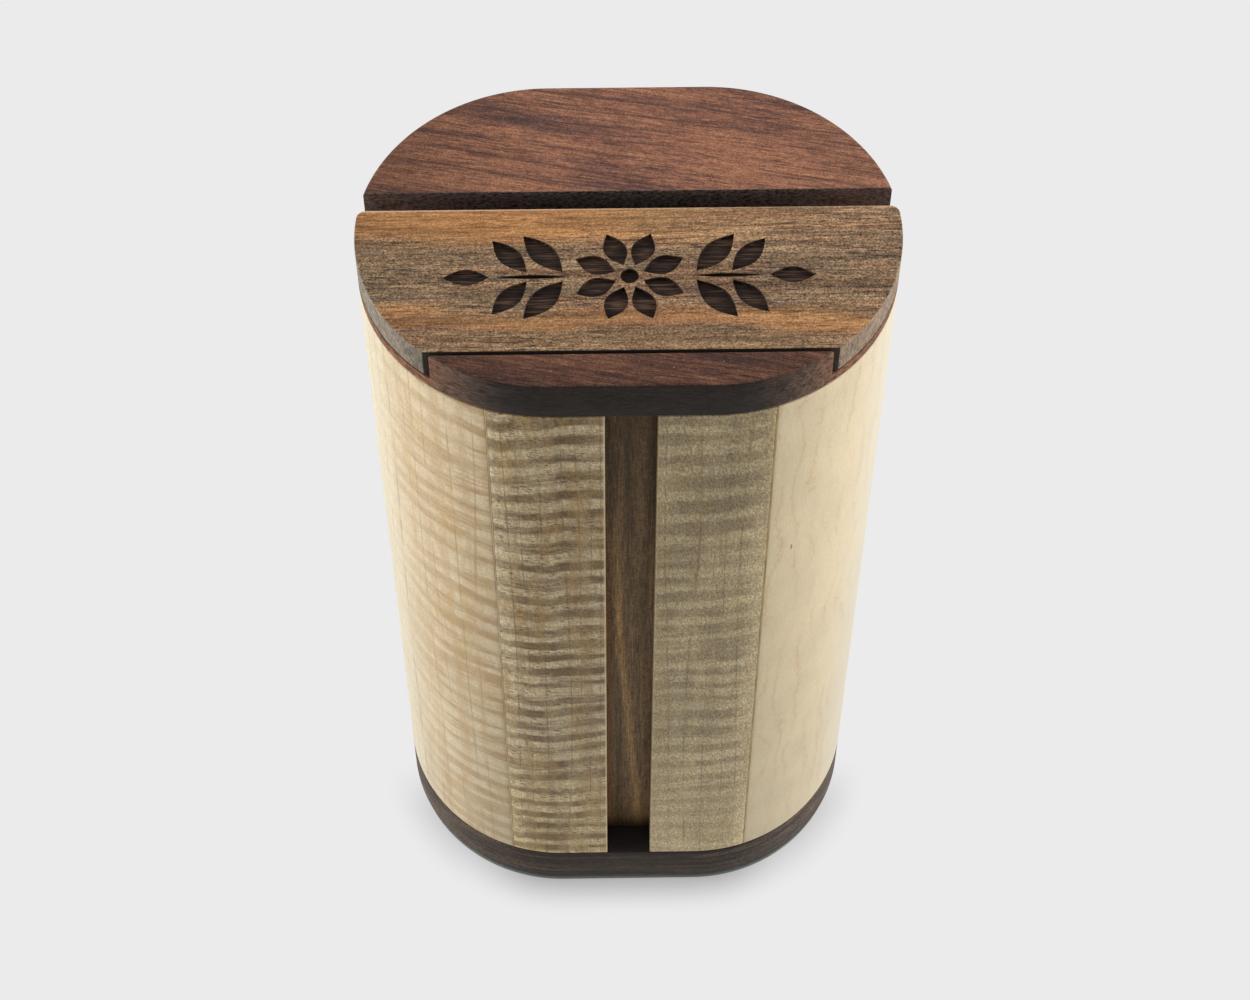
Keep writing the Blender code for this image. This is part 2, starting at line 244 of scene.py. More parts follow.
def apply_modifiers(obj):
    """Replace the mesh with its evaluated form and remove the cutters it used."""
    cutters = [m.object for m in obj.modifiers if m.type == "BOOLEAN"]
    bpy.context.view_layer.update()
    made = bpy.data.meshes.new_from_object(obj.evaluated_get(bpy.context.evaluated_depsgraph_get()))
    obj.modifiers.clear()
    obj.data = made
    for cutter in cutters:
        bpy.data.objects.remove(cutter, do_unlink=True)


def smooth(obj, angle=35.0):
    obj.data.shade_smooth()
    obj.data.set_sharp_from_angle(angle=math.radians(angle))


def grain(obj, place):
    """Store each point's place in the wood: along the grain, across it and into it, in millimetres."""
    attribute = obj.data.attributes.new("grain", "FLOAT_VECTOR", "POINT")
    for vertex, item in zip(obj.data.vertices, attribute.data):
        item.vector = place(*(vertex.co / MM))


def dress(obj, material, body, slot, *nodes):
    """Finish a piece: material, smooth shading, and what it rides on and replaces. Its slot is not used."""
    obj.data.materials.clear()
    obj.data.materials.append(material)
    smooth(obj)
    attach(obj, body)
    if nodes:
        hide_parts(*nodes)
    return obj


# ---------------------------------------------------------------- shader building

class Graph:
    """Short calls for the shader nodes that the materials use."""

    def __init__(self, tree):
        self.tree = tree

    def feed(self, socket, value):
        if hasattr(value, "links"):
            self.tree.links.new(value, socket)
        elif hasattr(value, "__len__") and len(value) == 3 and socket.type == "RGBA":
            socket.default_value = (*value, 1.0)
        else:
            socket.default_value = value

    def math(self, operation, a, b=0.0):
        node = self.tree.nodes.new("ShaderNodeMath")
        node.operation = operation
        self.feed(node.inputs[0], a)
        self.feed(node.inputs[1], b)
        return node.outputs[0]

    def total(self, *terms):
        """Sum of value * weight pairs."""
        result = None
        for value, weight in terms:
            scaled = self.math("MULTIPLY", value, weight)
            result = scaled if result is None else self.math("ADD", result, scaled)
        return result

    def grain(self):
        """Along, across and into the wood, in millimetres."""
        node = self.tree.nodes.new("ShaderNodeAttribute")
        node.attribute_name = "grain"
        split = self.tree.nodes.new("ShaderNodeSeparateXYZ")
        self.tree.links.new(node.outputs["Vector"], split.inputs[0])
        return split.outputs[0], split.outputs[1], split.outputs[2]

    def place(self):
        """The point's own place in the piece, in millimetres."""
        node = self.tree.nodes.new("ShaderNodeTexCoord")
        split = self.tree.nodes.new("ShaderNodeSeparateXYZ")
        self.tree.links.new(node.outputs["Object"], split.inputs[0])
        return [self.math("MULTIPLY", split.outputs[i], 1 / MM) for i in range(3)]

    def facing(self, axis):
        """1 where the piece's surface faces along the axis, 0 where it lies along it."""
        node = self.tree.nodes.new("ShaderNodeTexCoord")
        split = self.tree.nodes.new("ShaderNodeSeparateXYZ")
        self.tree.links.new(node.outputs["Normal"], split.inputs[0])
        return self.math("ABSOLUTE", split.outputs[axis])

    def noise(self, where, periods, detail=2.0, roughness=0.5, distortion=0.0, seed=0.0):
        """Noise whose features are about periods long on each axis."""
        joined = self.tree.nodes.new("ShaderNodeCombineXYZ")
        for i in range(3):
            scaled = self.math("MULTIPLY", where[i], 1.0 / periods[i])
            self.feed(joined.inputs[i], self.math("ADD", scaled, seed * (i + 1) * 7.31))
        node = self.tree.nodes.new("ShaderNodeTexNoise")
        node.inputs["Scale"].default_value = 1.0
        node.inputs["Detail"].default_value = detail
        node.inputs["Roughness"].default_value = roughness
        node.inputs["Distortion"].default_value = distortion
        self.tree.links.new(joined.outputs[0], node.inputs["Vector"])
        return node.outputs[0]

    def remap(self, value, low, high, to_low=0.0, to_high=1.0, smooth_step=True):
        node = self.tree.nodes.new("ShaderNodeMapRange")
        node.interpolation_type = "SMOOTHSTEP" if smooth_step else "LINEAR"
        self.feed(node.inputs["Value"], value)
        node.inputs["From Min"].default_value = low
        node.inputs["From Max"].default_value = high
        node.inputs["To Min"].default_value = to_low
        node.inputs["To Max"].default_value = to_high
        return node.outputs[0]

    def mix(self, factor, a, b):
        node = self.tree.nodes.new("ShaderNodeMix")
        node.data_type = "RGBA"
        self.feed(node.inputs[0], factor)
        self.feed(node.inputs[6], a)
        self.feed(node.inputs[7], b)
        return node.outputs[2]

    def scale(self, colour, value):
        """The colour made lighter or darker by a value that varies."""
        node = self.tree.nodes.new("ShaderNodeVectorMath")
        node.operation = "SCALE"
        self.feed(node.inputs[0], colour)
        self.feed(node.inputs["Scale"], value)
        return node.outputs[0]

    def ramp(self, factor, stops):
        node = self.tree.nodes.new("ShaderNodeValToRGB")
        elements = node.color_ramp.elements
        while len(elements) < len(stops):
            elements.new(0.5)
        for element, (position, colour) in zip(elements, stops):
            element.position = position
            element.color = (*colour, 1.0)
        self.feed(node.inputs[0], factor)
        return node.outputs[0]

    def contour(self, value, level, width):
        """A thin line where the value passes the level."""
        away = self.math("ABSOLUTE", self.math("SUBTRACT", value, level))
        return self.remap(away, 0.0, width, 1.0, 0.0)

    def is_ray(self, kind):
        """1 for rays of a kind, such as Is Camera Ray."""
        return self.tree.nodes.new("ShaderNodeLightPath").outputs[kind]

    def blend(self, factor, a, b):
        node = self.tree.nodes.new("ShaderNodeMix")
        node.data_type = "FLOAT"
        self.feed(node.inputs[0], factor)
        self.feed(node.inputs[2], a)
        self.feed(node.inputs[3], b)
        return node.outputs[0]


class Shader(Graph):
    """A material with a Principled shader."""

    def __init__(self, name, roughness=0.5, specular=0.5):
        self.material = bpy.data.materials.new(name)
        self.material.use_nodes = True
        super().__init__(self.material.node_tree)
        self.bsdf = self.tree.nodes["Principled BSDF"]
        self.set("Roughness", roughness)
        self.set("Specular IOR Level", specular)

    def set(self, socket, value):
        self.feed(self.bsdf.inputs[socket], value)

    def bump(self, height, depth, strength=1.0):
        node = self.tree.nodes.new("ShaderNodeBump")
        node.inputs["Strength"].default_value = strength
        node.inputs["Distance"].default_value = depth
        self.feed(node.inputs["Height"], height)
        self.set("Normal", node.outputs[0])


class Glow(Graph):
    """A stage surface or world that shows one tone to the camera and gives another light to the object."""

    def __init__(self, owner, kind, output):
        owner.use_nodes = True
        owner.node_tree.nodes.clear()
        super().__init__(owner.node_tree)
        self.glow = self.tree.nodes.new(kind)
        out = self.tree.nodes.new(output)
        self.tree.links.new(self.glow.outputs[0], out.inputs["Surface"])

    def show(self, seen, fill, tint):
        camera = self.is_ray("Is Camera Ray")
        self.feed(self.glow.inputs["Strength"], self.blend(camera, fill, seen))
        self.feed(self.glow.inputs["Color"], self.mix(camera, tint, (1.0, 1.0, 1.0)))


def srgb(r, g, b):
    """A screen colour from 0 to 255 as linear values."""
    def one(c):
        c /= 255
        return c / 12.92 if c <= 0.04045 else ((c + 0.055) / 1.055) ** 2.4
    return (one(r), one(g), one(b))


# ---------------------------------------------------------------- woods

# In the woods' own millimetres
FOOT = 20.0            # height near the foot of the walls, where their shading starts
STREAK_LEAN = 0.052    # how far the golden streak moves towards -X for each millimetre up
STREAK_START = 3.9     # where the streak's line meets height 0


def tooth(s, colour, where, fine, coarse, seed):
    """Add the small unevenness of sanded wood. fine and coarse are its strengths at about 0.4 and 1 mm."""
    small = s.noise(where, (0.42, 0.36, 0.36), 1, seed=seed)
    large = s.noise(where, (1.3, 0.8, 0.8), 1, seed=seed + 1)
    colour = s.scale(colour, s.remap(small, 0.25, 0.75, 1 - fine, 1 + fine, smooth_step=False))
    return s.scale(colour, s.remap(large, 0.25, 0.75, 1 - coarse, 1 + coarse, smooth_step=False))


def curly_maple(name, light, dark, tan, figure, seed=21):
    """Maple with cross curl: soft level bands across the upright grain, cut up by narrow upright stripes.

    figure holds, in millimetres and shares of one: side of the box, period of the bands, slope away from the
    seam, crook (how much the stripes lift the bands), contrast, calm, fade and foot (the contrast left at the
    seam, away from it and at the bottom), reach (the level above which the bands are dark), even (how regular
    the bands are), light_and_tone (brightness at the seam and past it, at the bottom and at the top: partly
    painted light and shade, partly the wood's own tone), pale (paler away from the seam: painted glare of the
    side light), stripes, cloud, gold, warm_foot (golden wood low down), hairs (fine level lines), dashes,
    lines (spacing, strength), arris_highlight (a painted highlight: the pale arris at the recess), fibre
    (length, strength) and tooth.
    """
    s = Shader(name, roughness=0.45, specular=0.35)
    along, across, depth = s.grain()
    where = (along, across, depth)
    from_seam = s.math("SUBTRACT", across, SEAM_RUN * figure["side"])
    wander = s.math("SUBTRACT", s.noise(where, (40, 24, 40), 1, seed=seed), 0.5)
    stripe = s.noise(where, (150, 2.6, 6), 0, seed=seed + 1)
    lifted = s.total((along, 1.0), (from_seam, figure["slope"]), (wander, 6.5), (stripe, figure["crook"]))
    curled = (lifted, across, depth)
    pace = s.noise(where, (60, 300, 300), 1, seed=seed + 3)
    wave = s.math("SINE", s.total((lifted, 2 * math.pi / figure["period"]), (pace, 20.0)))
    broad = s.noise(curled, (figure["period"] * 0.55, 60, 70), 1, 0.5, seed=seed + 4)
    narrow = s.noise(curled, (1.25, 11, 14), 2, 0.6, seed=seed + 5)
    bands = s.total((wave, figure["even"]), (broad, 0.45), (narrow, 0.45))
    dark_bands = s.remap(bands, figure["reach"] - 0.11, figure["reach"] + 0.11)
    patchy = s.remap(s.noise(where, (26, 6, 30), 1, seed=seed + 6), 0.35, 0.6, 0.65, 1.0)
    off_seam = s.math("ABSOLUTE", from_seam)
    strength = s.math("MULTIPLY", patchy, s.remap(off_seam, 3.0, 34.0, figure["contrast"],
                                                  figure["contrast"] * figure["fade"]))
    strength = s.math("MULTIPLY", strength, s.remap(off_seam, 0.5, 5.0, figure["calm"], 1.0))
    strength = s.math("MULTIPLY", strength, s.remap(along, FOOT, 75.0, figure["foot"], 1.0))
    hair = s.math("SUBTRACT", s.noise(curled, (0.5, 9.0, 9.0), 1, seed=seed + 17), 0.5)
    hair_here = s.remap(s.noise(where, (7, 10, 9), 1, seed=seed + 18), 0.4, 0.6, 0.0, figure["hairs"])
    foot = s.remap(along, FOOT, 85.0, figure["warm_foot"], 0.0)
    light_here = s.mix(foot, light, srgb(228, 204, 152))
    dark_here = s.mix(foot, dark, srgb(140, 108, 56))
    colour = s.mix(s.math("MULTIPLY", dark_bands, strength), light_here, dark_here)
    colour = s.scale(colour, s.math("ADD", s.math("MULTIPLY", hair, hair_here), 1.0))

    warmth = s.remap(s.noise(where, (80, 3.4, 9), 1, seed=seed + 7), 0.5, 0.66, 0.0, 0.4)
    stripes = figure["stripes"]
    colour = s.scale(s.mix(warmth, colour, tan), s.remap(stripe, 0.3, 0.7, 1 - stripes, 1 + stripes))
    cloud = s.noise(where, (34, 15, 30), 1, seed=seed + 15)
    colour = s.scale(colour, s.remap(cloud, 0.3, 0.7, 1 - figure["cloud"], 1 + figure["cloud"]))
    golden = s.remap(s.noise(where, (13, 3.4, 8), 1, seed=seed + 16), 0.5, 0.66, 0.0, figure["gold"])
    colour = s.mix(golden, colour, s.mix(0.5, tan, srgb(196, 158, 84)))
    # Brighter or darker at the seam and past it, at the bottom and at the top: partly painted light and
    # shade, partly the wood's own tone
    at_seam, past_seam, at_bottom, at_top = figure["light_and_tone"]
    colour = s.scale(colour, s.remap(off_seam, 0.0, 11.0, at_seam, past_seam))
    colour = s.scale(colour, s.remap(along, FOOT, 190.0, at_bottom, at_top, smooth_step=False))
    # Painted light: paler away from the seam, the glare of the side light
    colour = s.mix(s.remap(off_seam, 20.0, 36.0, 0.0, figure["pale"]), colour, srgb(232, 222, 197))
    spacing, marking = figure["lines"]
    rings = s.total((across, 1.0 / spacing), (s.noise(where, (260, 9, 14), 1, seed=seed + 8), 3.0))
    lines = s.contour(s.math("FRACT", rings), 0.5, 0.07)
    faint = s.remap(s.noise(where, (16, 3, 9), 1, seed=seed + 9), 0.35, 0.6, 0.1, 1.0)
    colour = s.mix(s.math("MULTIPLY", s.math("MULTIPLY", lines, faint), marking), colour, s.scale(dark, 0.8))

    dash = s.remap(s.noise(where, (0.32, 1.7, 1.0), 1, seed=seed + 10), 0.55, 0.68)
    dash_here = s.remap(s.noise(where, (6, 7, 9), 1, seed=seed + 11), 0.38, 0.6, 0.15, 1.0)
    colour = s.mix(s.math("MULTIPLY", s.math("MULTIPLY", dash, dash_here), figure["dashes"]), colour,
                   s.scale(dark, 0.55))
    length, fibres = figure["fibre"]
    lean = s.total((across, 1.0), (along, 0.22))
    fibre = s.noise((along, lean, depth), (length, 0.34, 0.6), 1, 0.6, seed=seed + 12)
    colour = s.scale(colour, s.remap(fibre, 0.28, 0.72, 1 - fibres, 1 + fibres, smooth_step=False))
    colour = tooth(s, colour, where, figure["tooth"], figure["tooth"] * 0.4, seed + 14)
    # Painted highlight: a pale line along the arris at the recess
    arris = s.remap(s.math("ABSOLUTE", across), RECESS_HALF / MM + 0.15, RECESS_HALF / MM + 0.55, 1.0, 0.0)
    colour = s.mix(s.math("MULTIPLY", arris, figure["arris_highlight"]), colour, srgb(232, 212, 172))
    s.set("Base Color", colour)
    s.set("Roughness", s.remap(bands, 0.38, 0.6, 0.42, 0.5))
    s.bump(s.total((fibre, 0.6), (bands, 0.5)), 0.03 * MM, 0.6)
    return s.material


def plain_maple(name, light, line, seed, glare_and_dim_foot=False, fleck_at=None):
    """Flatsawn maple: creamy, with faint flame lines and, if fleck_at is given, one small dark fleck.

    glare_and_dim_foot paints an outer stave paler away from the front, as glare of the side light, and a
    little darker at its foot, partly painted shade and partly the wood's own tone.
    """
    s = Shader(name, roughness=0.45, specular=0.35)
    along, across, depth = s.grain()
    where = (along, across, depth)
    sway = s.noise(where, (24, 11, 20), 1, seed=seed + 4)
    ragged = s.noise(where, (2.4, 4, 6), 2, 0.6, seed=seed + 6)
    rings = s.math("FRACT", s.total((across, 1 / 4.6), (sway, 3.0), (ragged, 0.8)))
    halo = s.math("MULTIPLY", s.contour(rings, 0.5, 0.35), 0.3)
    flames = s.math("MAXIMUM", s.contour(rings, 0.5, 0.07), halo)
    soft = s.remap(s.noise(where, (20, 6, 12), 2, seed=seed + 1), 0.38, 0.64, 0.12, 0.55)
    cloud = s.remap(s.noise(where, (14, 10, 20), 2, seed=seed + 2), 0.3, 0.7, 0.955, 1.04)
    fibre = s.noise(where, (4, 0.34, 0.5), 1, seed=seed + 3)
    colour = s.scale(s.mix(s.math("MULTIPLY", flames, soft), light, line), cloud)
    colour = s.scale(colour, s.remap(fibre, 0.3, 0.7, 0.982, 1.018, smooth_step=False))
    if fleck_at:
        near_along = s.math("DIVIDE", s.math("SUBTRACT", along, fleck_at[0]), 1.1)
        near_across = s.math("DIVIDE", s.math("SUBTRACT", across, fleck_at[1]), 0.24)
        reach = s.math("SQRT", s.total((s.math("MULTIPLY", near_along, near_along), 1.0),
                                       (s.math("MULTIPLY", near_across, near_across), 1.0)))
        colour = s.mix(s.remap(reach, 0.5, 1.3, 0.7, 0.0), colour, srgb(112, 92, 68))
    colour = tooth(s, colour, where, 0.06, 0.03, seed + 5)
    # Painted light: paler far from the front, the glare of the side light; a little darker at the foot,
    # partly painted shade and partly the wood's own tone
    if glare_and_dim_foot:
        far = s.remap(s.math("ABSOLUTE", across), 46.0, 64.0, 0.0, 0.7)
        colour = s.mix(far, colour, srgb(226, 217, 196))
        colour = s.scale(colour, s.remap(along, FOOT, 170.0, 0.93, 1.0, smooth_step=False))
    s.set("Base Color", colour)
    s.bump(fibre, 0.02 * MM, 0.4)
    return s.material


def open_grain(s, where, seed):
    """How much pore each point of an open-grained wood has: short dark dashes along the grain."""
    fine = s.remap(s.noise(where, (3.2, 0.26, 0.26), 1, seed=seed), 0.53, 0.68)
    coarse = s.remap(s.noise(where, (7.0, 0.45, 0.45), 1, seed=seed + 1), 0.58, 0.72)
    here = s.remap(s.noise(where, (24, 4, 4), 2, seed=seed + 2), 0.35, 0.62, 0.4, 1.0)
    return s.math("MULTIPLY", s.math("MAXIMUM", fine, coarse), here)


def dust(s, colour, where, seed):
    """A few pale specks on the level faces."""
    speck = s.remap(s.noise(where, (0.38, 0.34, 0.34), 0, seed=seed), 0.84, 0.875)
    lying = s.math("MULTIPLY", s.facing(2), 0.75)
    return s.mix(s.math("MULTIPLY", speck, lying), colour, srgb(210, 186, 168))


def rosewood(name, seed):
    """Reddish dark wood with purple-brown streaks. Upright faces are painted near black as shade, deepest in
    the middle and fading to redder wood at the ends.

    The rear wall of the dado is painted dark instead, as its shade, with speckles in the wood.
    """
    s = Shader(name, roughness=0.55, specular=0.22)
    where = s.grain()
    x, y = s.place()[:2]
    broad = s.noise(where, (70, 8.0, 8.0), 2, 0.5, 0.3, seed=seed)
    streak = s.noise(where, (26, 1.5, 1.5), 2, 0.55, seed=seed + 1)
    fine = s.noise(where, (6.5, 0.36, 0.36), 2, 0.65, seed=seed + 2)
    tone = s.total((broad, 0.36), (streak, 0.22), (fine, 0.42))
    colour = s.ramp(tone, [(0.38, srgb(92, 68, 63)), (0.45, srgb(118, 82, 69)),
                           (0.51, srgb(148, 101, 79)), (0.6, srgb(174, 121, 90))])
    dark_vein = s.contour(s.total((broad, 0.8), (streak, 0.2)), 0.46, 0.02)
    vein_here = s.remap(s.noise(where, (60, 14, 14), 1, seed=seed + 3), 0.42, 0.6)
    vein = s.math("MULTIPLY", s.math("MULTIPLY", dark_vein, vein_here), 0.3)
    colour = s.mix(vein, colour, srgb(70, 50, 50))
    bend = s.noise(where, (120, 16, 16), 1, seed=seed + 5)
    rings = s.math("FRACT", s.total((where[1], 1 / 3.8), (bend, 4.0)))
    ring_here = s.remap(s.noise(where, (34, 5, 5), 1, seed=seed + 6), 0.36, 0.62, 0.1, 0.65)
    colour = s.mix(s.math("MULTIPLY", s.contour(rings, 0.5, 0.11), ring_here), colour, srgb(84, 60, 54))
    pores = open_grain(s, where, seed + 4)
    colour = s.mix(s.math("MULTIPLY", pores, 0.55), colour, srgb(58, 40, 38))
    colour = tooth(s, colour, where, 0.4, 0.18, seed + 8)
    colour = s.scale(colour, s.remap(y, -38.0, 2.0, 0.5, 1.0))
    colour = s.scale(colour, s.remap(x, -52.0, -12.0, 0.6, 1.0))

    # Painted shade: upright faces are painted near black in the middle, fading to redder wood at the ends
    from_middle = s.remap(s.math("ABSOLUTE", x), 20.0, 44.0, smooth_step=False)
    shaded_upright = s.ramp(from_middle, [(0.0, srgb(34, 27, 25)), (0.2, srgb(47, 38, 34)), (0.38, srgb(74, 58, 49)),
                                (0.58, srgb(97, 75, 61)), (0.85, srgb(132, 90, 66))])
    rough_cut = s.total((s.noise(where, (3.0, 0.5, 0.5), 2, 0.7, seed=seed + 9), 0.6), (streak, 0.4))
    shaded_upright = s.scale(shaded_upright, s.remap(rough_cut, 0.36, 0.64, 0.2, 1.8, smooth_step=False))
    upright = s.remap(s.facing(2), 0.25, 0.75, 0.97, 0.0)
    colour = s.mix(upright, colour, shaded_upright)
    # Painted shade: the dado's rear wall is painted dark, with speckles in the wood
    dado_y = DADO_REAR / MM
    dado = s.math("MULTIPLY", s.remap(y, dado_y - 0.8, dado_y - 0.3),
                  s.remap(y, dado_y + 0.1, dado_y + 0.25, 1.0, 0.0))
    speckled = s.noise(where, (0.9, 0.42, 0.42), 2, 0.7, seed=seed + 10)
    dado_speckle_and_shade = s.scale(srgb(80, 69, 65), s.remap(speckled, 0.36, 0.64, 0.1, 2.1, smooth_step=False))
    colour = s.mix(s.math("MULTIPLY", dado, 0.8), colour, dado_speckle_and_shade)
    colour = dust(s, colour, where, seed + 12)
    s.set("Base Color", colour)
    s.set("Roughness", s.remap(tone, 0.4, 0.6, 0.5, 0.6))
    s.bump(s.total((pores, -1.0), (fine, 0.5)), 0.05 * MM, 0.7)
    return s.material


def dark_walnut(name, seed, painted_shade_floor=False):
    """Dark walnut, browner towards the ends. painted_shade_floor paints the base's top in the two recesses
    near black, as their shade.
    """
    s = Shader(name, roughness=0.55, specular=0.25)
    where = s.grain()
    x, y, z = s.place()
    broad = s.noise(where, (60, 9.0, 1.8), 2, 0.5, 0.3, seed=seed)
    fine = s.noise(where, (7, 0.42, 0.42), 2, 0.65, seed=seed + 1)
    tone = s.total((broad, 0.55), (fine, 0.45))
    colour = s.ramp(tone, [(0.39, srgb(41, 32, 28)), (0.5, srgb(59, 48, 40)), (0.61, srgb(86, 70, 58))])
    to_end = s.remap(s.math("ABSOLUTE", x), 18.0, 46.0)
    brown = s.scale(srgb(106, 89, 77), s.remap(tone, 0.4, 0.6, 0.6, 1.4))
    colour = s.mix(s.math("MULTIPLY", to_end, 0.45), colour, brown)
    pores = open_grain(s, where, seed + 2)
    colour = s.mix(s.math("MULTIPLY", pores, 0.45), colour, srgb(40, 33, 30))
    colour = tooth(s, colour, where, 0.5, 0.24, seed + 6)
    # Painted shade: the base's top inside the recesses is painted near black, the shade at the foot of the
    # recesses
    if painted_shade_floor:
        high = s.remap(z, BASE_HIGH.z / MM - 0.4, BASE_HIGH.z / MM - 0.1)
        inside = s.remap(s.math("ABSOLUTE", x), RECESS_HALF / MM, RECESS_HALF / MM + 0.3, 1.0, 0.0)
        outer = s.remap(s.math("ABSOLUTE", y), END_RADIUS / MM - 0.5, END_RADIUS / MM - 0.2, 1.0, 0.0)
        floor = s.math("MULTIPLY", s.math("MULTIPLY", high, inside), outer)
        colour = s.mix(floor, colour, srgb(44, 41, 44))
    s.set("Base Color", colour)
    s.bump(s.total((pores, -1.0), (fine, 0.4)), 0.05 * MM, 0.7)
    return s.material


def strip_walnut(name, seed):
    """Upright walnut with a golden streak that leans towards -X as it rises, in the lower half."""
    s = Shader(name, roughness=0.55, specular=0.25)
    along, across, depth = s.grain()
    where = (along, across, depth)
    broad = s.noise(where, (60, 1.8, 4.0), 2, 0.5, 0.2, seed=seed)
    fine = s.noise(where, (7, 0.34, 0.6), 2, 0.6, seed=seed + 1)
    tone = s.total((broad, 0.5), (fine, 0.5))
    colour = s.ramp(tone, [(0.38, srgb(102, 82, 64)), (0.5, srgb(130, 107, 81)), (0.62, srgb(158, 130, 96))])
    wander = s.math("SUBTRACT", s.noise(where, (60, 400, 400), 1, seed=seed + 2), 0.5)
    centre = s.total((across, 1.0), (wander, 4.0), (along, STREAK_LEAN))
    streak = s.remap(s.math("ABSOLUTE", s.math("SUBTRACT", centre, STREAK_START)), 0.2, 1.6, 1.0, 0.0)
    low_down = s.remap(along, 160.0, 110.0)
    colour = s.mix(s.math("MULTIPLY", s.math("MULTIPLY", streak, low_down), 0.75), colour,
                   s.scale(srgb(190, 154, 106), s.remap(fine, 0.35, 0.65, 0.7, 1.3)))
    warm_side = s.math("MULTIPLY", s.remap(across, -3.4, -5.0), low_down)
    colour = s.mix(s.math("MULTIPLY", warm_side, 0.55), colour, srgb(166, 112, 68))
    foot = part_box("front_strip")[0].z / MM
    # Painted shade: darker towards the top under the lid, near black at the foot where the recess meets the
    # base, and a little darker low down
    colour = s.scale(colour, s.remap(along, 192.0, 130.0, 0.63, 0.97))
    colour = s.scale(colour, s.remap(along, foot, foot + 8.0, 0.25, 1.0))
    colour = s.scale(colour, s.remap(along, foot + 4.0, foot + 60.0, 0.9, 1.0))
    pores = open_grain(s, where, seed + 3)
    colour = s.mix(s.math("MULTIPLY", pores, 0.4), colour, srgb(52, 42, 35))
    colour = tooth(s, colour, where, 0.36, 0.16, seed + 7)
    s.set("Base Color", colour)
    s.bump(s.total((pores, -1.0), (fine, 0.4)), 0.04 * MM, 0.7)
    return s.material


